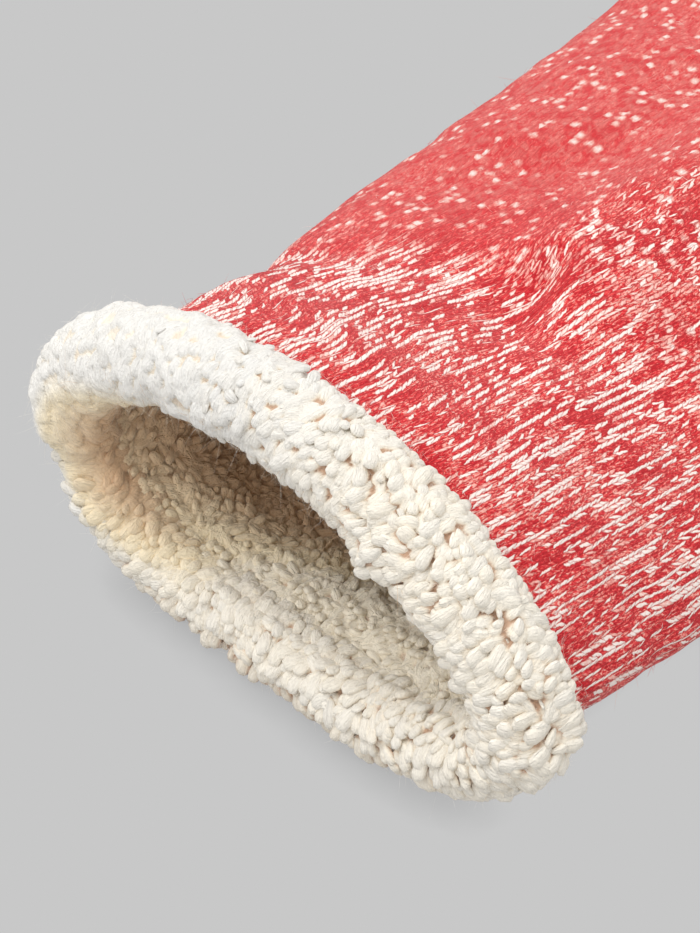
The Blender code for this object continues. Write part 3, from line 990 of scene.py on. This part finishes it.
def makeRoll():
    roll, gap, wall = terryRoll, sectionForm["seamGap"], knitShell["thinWall"]
    centre = roll["centreInset"]
    angles = evenAngles(np.zeros(1), centre - sectionForm["rollRadius"], splitRound(*roll["around"]))
    trim = byDegrees(lipRows, angles)
    back, radius = np.maximum(trim, 0.0), skinRadius(trim)
    first = np.arcsin((centre + gap) / radius)
    last = 2 * math.pi - math.asin((centre - gap - wall) / radius.max())
    turns = first + (last - first) * np.linspace(0, 1, roll["steps"])[:, None]
    rows, columns = len(turns), angles.shape[1]

    def roundRoll(radius):
        return facePoint(back + radius * np.cos(turns), angles, centre - radius * np.sin(turns))

    skin = roundRoll(radius)
    swell = np.zeros((rows, columns))
    for around, turned, size, height in roll["clumps"]:
        i = abs(turns[:, 0] - math.radians(turned)).argmin()
        j = abs(angles[0] - math.radians(around)).argmin()
        swell += height * np.exp(-(np.linalg.norm(skin - skin[i, j], axis=2) / size) ** 2)
    skin = roundRoll(radius + swell)
    out = unit(skin - facePoint(back, angles, centre))
    backing = facePoint(back - np.full((2, 1), roll["slotDepth"]), angles, np.array(((wall + gap,), (-gap,))))

    # painted shade inside the mouth, deeper at its left end
    leftEnd = ramp(-np.cos(angles), *roll["leftEnd"])
    (start, earlier, reach), (shade, leftShade) = roll["shadeTurn"], roll["shade"]
    inside = ramp(turns / math.pi - start + earlier * leftEnd, 0.0, reach) * (shade + leftShade * leftEnd)
    whiteTurn, whiteness = roll["whiteEnd"]
    upperLeft = np.clip(-np.cos(angles + whiteTurn) * whiteness, 0.0, 1.0)
    pressed = byDegrees(roll["pressed"], angles)
    underEnd, underFade = roll["under"]
    under = np.maximum(-np.sin(angles + 0.2), 0.0) * ramp(underEnd - turns, 0.0, underFade)
    free, flat = roll["loft"]
    loft = (free - (free - flat) * pressed) * (1.0 - roll["underLoss"] * under)
    # painted shade on the skin between the loops, where the pile is not pressed
    shadeDarkening = roll["freeShade"] * (1.0 - pressed)
    dice = np.random.default_rng(51)
    piece, front, ways = pilePiece("terryRoll", skin, out, inside, roll, np.ones(rows), dice, backing,
                                   loft, upperLeft, shadeDarkening)

    # plump loops everywhere but on the pressed upper left
    edge = rollLoops["edge"]
    i, j, _ = scatterLobes(skin[edge:-edge], rollLoops, np.ones(rows - 2 * edge), dice)
    i += edge
    slope, start, underThin = rollLoops["thinned"]
    thin = np.clip(pressed[0, j] * slope - start, 0.0, 1.0) + underThin * under[i, j]
    keep = dice.uniform(0, 1, len(i)) > thin
    i, j = i[keep], j[keep]
    flat = pressed[0, j]
    sink = (rollLoops["sink"] + rollLoops["softSink"] * flat + dice.uniform(*rollLoops["sinkSpread"], len(i))
            - rollLoops["lowerLift"] * (np.sin(angles[0, j]) < -0.4))
    root = skin[i, j] + out[i, j] * (roll["height"] * roll["bedding"] - sink)[:, None]
    size, loss = rollLoops["larger"]
    loops = petalPiece("terryRollLoops", root, out[i, j], ways[i, j], rollLoops, dice, inside[i, j],
                       upperLeft[0, j], size - loss * flat ** 2, rollLoops["underShade"] * under[i, j])

    i = dice.integers(2, rows - 2, terryFuzz["count"])
    j = dice.integers(0, columns, terryFuzz["count"])
    lifted = out[i, j] * (terryFuzz["rootLift"] * (1.0 - pressed[0, j]))[:, None]
    fuzz = fuzzPiece("terryRollFuzz", front[i, j] + lifted, out[i, j], ways[i, j], terryFuzz, dice,
                     terryFuzzMaterial, inside[i, j])

    (fromMouth, fromTurn), (toMouth, toTurn) = np.radians(terryCurls["from"]), np.radians(terryCurls["to"])
    turned = dice.uniform(fromTurn, toTurn, terryCurls["count"])
    around = dice.uniform(fromMouth, toMouth, terryCurls["count"])
    i = abs(turns[:, :1] - turned).argmin(axis=0)
    j = abs(angles[0][:, None] - around).argmin(axis=0)
    # each curl goes a random share of the way towards the deep shade brown
    curls = fuzzPiece("terryRollCurls", front[i, j], out[i, j], ways[i, j], terryCurls, dice,
                      terryFuzzMaterial, dice.uniform(0.2, 1.0, len(i)))
    return [piece, loops, fuzz, curls]


liningLoops = {
    "spacing": (1.6, 1.15),
    "length": 2.6, "width": 1.2, "flatness": 0.8,
    "pitch": (0.2, 0.6), "arch": 0.2,
    "sink": 0.35, "bedding": 0.9,
    "sides": 6, "rings": 4,
    "edge": 2,
    "end": 25.0,  # station of the last of them, and only on the lower side
}

terryLining = {
    "start": 4.8,
    "fineEnd": 32.0,  # beyond it the pile is too deep in to need fine steps
    "steps": (0.38, 0.70),
    "crowding": (1.0, 1.8),  # how much wider the lobes' gaps are near the mouth, and deeper in
    "crowdingEnds": (26.0, 34.0),
    "belowCrest": 0.4, "tuck": 0.5,  # how far it starts under the roll's crest, and inside its back
    "ground": 0.5,  # thickness of the cloth under the loops
    "backingEvery": 8,  # rows of the front to one row behind
    # heap of pile behind the lower lip, by degrees, and the stations between which it fades
    "bank": ((0, 3), (35, 0.5), (60, 0), (135, 0), (165, 2), (185, 2.9), (220, 3), (260, 4),
             (290, 6), (315, 7.4), (340, 6), (360, 3.2)),
    "bankEnds": (7.0, 27.0),
    "frontReach": 7.0,  # stretch over which its face rises from the roll's back
    "around": (330, 310),
    "spacing": (1.45, 0.85),
    "length": 2.1, "width": 1.05, "height": 0.95,
    "rear": 0.25, "crisp": 14.0,
    "lumps": 0.25, "lumpSize": 6.0,
    "droop": 0.8, "patch": 1.1, "stray": 0.35, "patchSize": 6.0,
    "dark": (12.0, 15.0, 16.0),  # station where the shade begins, its drift to the left, its reach
    "darkStart": 0.12,
    "fuzz": 1500,
}


def liningSkin(stations, angles, face):
    # the pile's foot: its first rows lie in the back of the roll, level with its crest at most
    lining, centre = terryLining, terryRoll["centreInset"]
    bankStart, bankEnd = lining["bankEnds"]
    near = ramp(bankEnd - stations, 0.0, bankEnd - bankStart)
    heap = byDegrees(lining["bank"], angles) * eased(near)[:, None] + lining["ground"]
    trim = byDegrees(lipRows, angles[0])
    radius = skinRadius(trim)
    first = np.minimum(face + heap[0], centre + radius - lining["belowCrest"])
    depth = np.sqrt(np.maximum(radius ** 2 - (first - centre) ** 2, 0.0))
    forward = lining["start"] - (np.maximum(trim, 0.0) + depth - lining["tuck"])
    fade = ramp(stations, lining["start"], lining["frontReach"])[:, None]
    heap = heap + (first - face - heap) * (1.0 - eased(fade))
    return facePoint(stations[:, None] - forward * (1.0 - fade) ** 1.5, angles, face + heap)


def makeLining():
    lining, fineEnd = terryLining, terryLining["fineEnd"]
    face = knitShell["thinWall"] + sectionForm["seamGap"]
    stations = stretches((lining["start"], fineEnd, knitShell["liningEnd"]), lining["steps"])
    angles = evenAngles(stations, face, splitRound(*lining["around"]))
    columns = angles.shape[1]
    cloth = facePoint(stations[:, None], angles, face)
    out = unit(facePoint(stations[:, None], angles, face + lining["ground"]) - cloth)
    skin = liningSkin(stations, angles, face)
    start, drift, reach = lining["dark"]
    least = lining["darkStart"]
    inside = least + (1.0 - least) * ramp(stations[:, None] - start - drift * np.cos(angles), 0.0, reach)
    crowding = np.interp(stations, lining["crowdingEnds"], lining["crowding"])
    backing = cloth[::-lining["backingEvery"]]
    dice = np.random.default_rng(71)
    piece, front, ways = pilePiece("terryLining", skin, out, inside, lining, crowding, dice, backing)

    i = (dice.uniform(0, 1, lining["fuzz"]) ** 1.5 * (stations < fineEnd).sum()).astype(int)
    j = dice.integers(0, columns, lining["fuzz"])
    fuzz = fuzzPiece("terryLiningFuzz", front[i, j], out[i, j], ways[i, j], terryFuzz, dice,
                     terryFuzzMaterial, inside[i, j])

    edge, visible = liningLoops["edge"], (stations < liningLoops["end"]).sum()
    i, j, _ = scatterLobes(skin[edge:visible], liningLoops, np.ones(visible - edge), dice)
    i += edge
    below = np.sin(angles[i, j]) < 0.15
    i, j = i[below], j[below]
    root = skin[i, j] + out[i, j] * (lining["height"] * liningLoops["bedding"] - liningLoops["sink"])
    loops = petalPiece("terryLiningLoops", root, out[i, j], ways[i, j], liningLoops, dice, inside[i, j], 0.0)
    return [piece, loops, fuzz]


rollPieces = makeRoll()
for piece in rollPieces:
    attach(piece, "root")
    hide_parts("terry_roll")
    print(piece.name, len(piece.data.polygons), "faces")
liningPieces = makeLining()
for piece in liningPieces:
    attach(piece, "root")
    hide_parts("terry_lining")
    print(piece.name, len(piece.data.polygons), "faces")

knitFuzz = {
    "count": 4500,
    "from": 5.0, "pastToe": 30.0,  # first station, and how far past the toe's start the last ones lie
    "thinning": 1.4,  # how much denser they are near the roll
    "rimCount": 1500,  # more of them where the knit meets the roll
    "rim": (4.0, 8.5),
    "rootDepth": 0.1,
    "length": 1.2, "lift": 0.8, "stray": 0.9, "curl": 0.4, "thickness": 0.045,
}


def makeKnitFuzz():
    dice = np.random.default_rng(91)
    start, depth = knitFuzz["from"], knitFuzz["rootDepth"]
    share = dice.uniform(0, 1, knitFuzz["count"]) ** knitFuzz["thinning"]
    station = start + share * (toeStart + knitFuzz["pastToe"] - start)
    station = np.concatenate((station, dice.uniform(*knitFuzz["rim"], knitFuzz["rimCount"])))
    angle = dice.uniform(0, 2 * math.pi, len(station))
    root = facePoint(station, angle, depth)
    out = unit(facePoint(station, angle, -0.4) - root)
    way = unit(facePoint(station - 0.5, angle, depth) - root)
    return fuzzPiece("knitFuzz", root, out, way, knitFuzz, dice, knitFuzzMaterial, np.zeros(len(root)))


fuzzOfKnit = makeKnitFuzz()
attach(fuzzOfKnit, "root")
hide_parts("knit_sock")
print(fuzzOfKnit.name, len(fuzzOfKnit.data.polygons), "faces")

rollPieces + liningPieces + [fuzzOfKnit]

# Floor, light and camera

studio = {
    "floorSize": 6.0,
    "floorShade": 0.5776,
    "contactReach": 0.0045,
    "contactShade": 0.40,
    "skyStrength": 0.93,
    "sunStrength": 1.47,
    "sunWay": (-0.36, -0.22, 0.90),  # from the sock towards the light
    "sunAngle": math.radians(60.0),
    "cameraTurn": math.radians(43.0),
    "cameraRise": math.radians(43.0),
    "cameraDistance": 0.430,
    "cameraLens": 128.0,
    "aimOffset": (-16.0, 33.3),  # from the middle of the mouth, across and along
}


def makeFloor():
    bpy.ops.object.select_all(action="DESELECT")
    bpy.ops.mesh.primitive_plane_add(size=studio["floorSize"])
    floor = bpy.context.object
    floor.name = "floor"
    n = Nodes("paleLightTable")
    # the floor glows evenly; the contact shadow next to the sock is painted into its glow from occlusion
    near = n.node("AmbientOcclusion", "AO", {"Distance": studio["contactReach"]}, samples=12)
    shade = n.mix(near ** 0.8, [studio["contactShade"]] * 3, [studio["floorShade"]] * 3)
    n.wire(n.node("Emission", 0, {"Color": shade}), n.tree.nodes["Material Output"].inputs["Surface"])
    floor.data.materials.append(n.material)


def makeLight():
    world = bpy.data.worlds.new("studioSky")
    world.use_nodes = True
    sky = world.node_tree.nodes["Background"].inputs
    sky["Color"].default_value = (1.0, 1.0, 1.0, 1.0)
    sky["Strength"].default_value = studio["skyStrength"]
    bpy.context.scene.world = world
    light = bpy.data.lights.new("softSun", "SUN")
    light.energy = studio["sunStrength"]
    light.angle = studio["sunAngle"]
    lamp = bpy.data.objects.new("softSun", light)
    bpy.context.scene.collection.objects.link(lamp)
    lamp.rotation_euler = Vector(studio["sunWay"]).to_track_quat("Z", "Y").to_euler()


def makeCamera():
    data = bpy.data.cameras.new("camera")
    data.lens, data.sensor_width = studio["cameraLens"], 36.0
    data.clip_start = 0.01
    camera = bpy.data.objects.new("camera", data)
    bpy.context.scene.collection.objects.link(camera)
    aim = Vector((centreLine["legAxisX"] + studio["aimOffset"][0],
                  centreLine["rimY"] + studio["aimOffset"][1], 0.0)) * millimetre
    turn, rise = studio["cameraTurn"], studio["cameraRise"]
    back = Vector((math.sin(turn) * math.cos(rise), -math.cos(turn) * math.cos(rise), math.sin(rise)))
    camera.location = aim + back * studio["cameraDistance"]
    camera.rotation_euler = back.to_track_quat("Z", "Y").to_euler()
    bpy.context.scene.camera = camera


makeFloor()
makeLight()
makeCamera()
bpy.context.scene.view_settings.view_transform = "Standard"
print("floor, light and camera made")
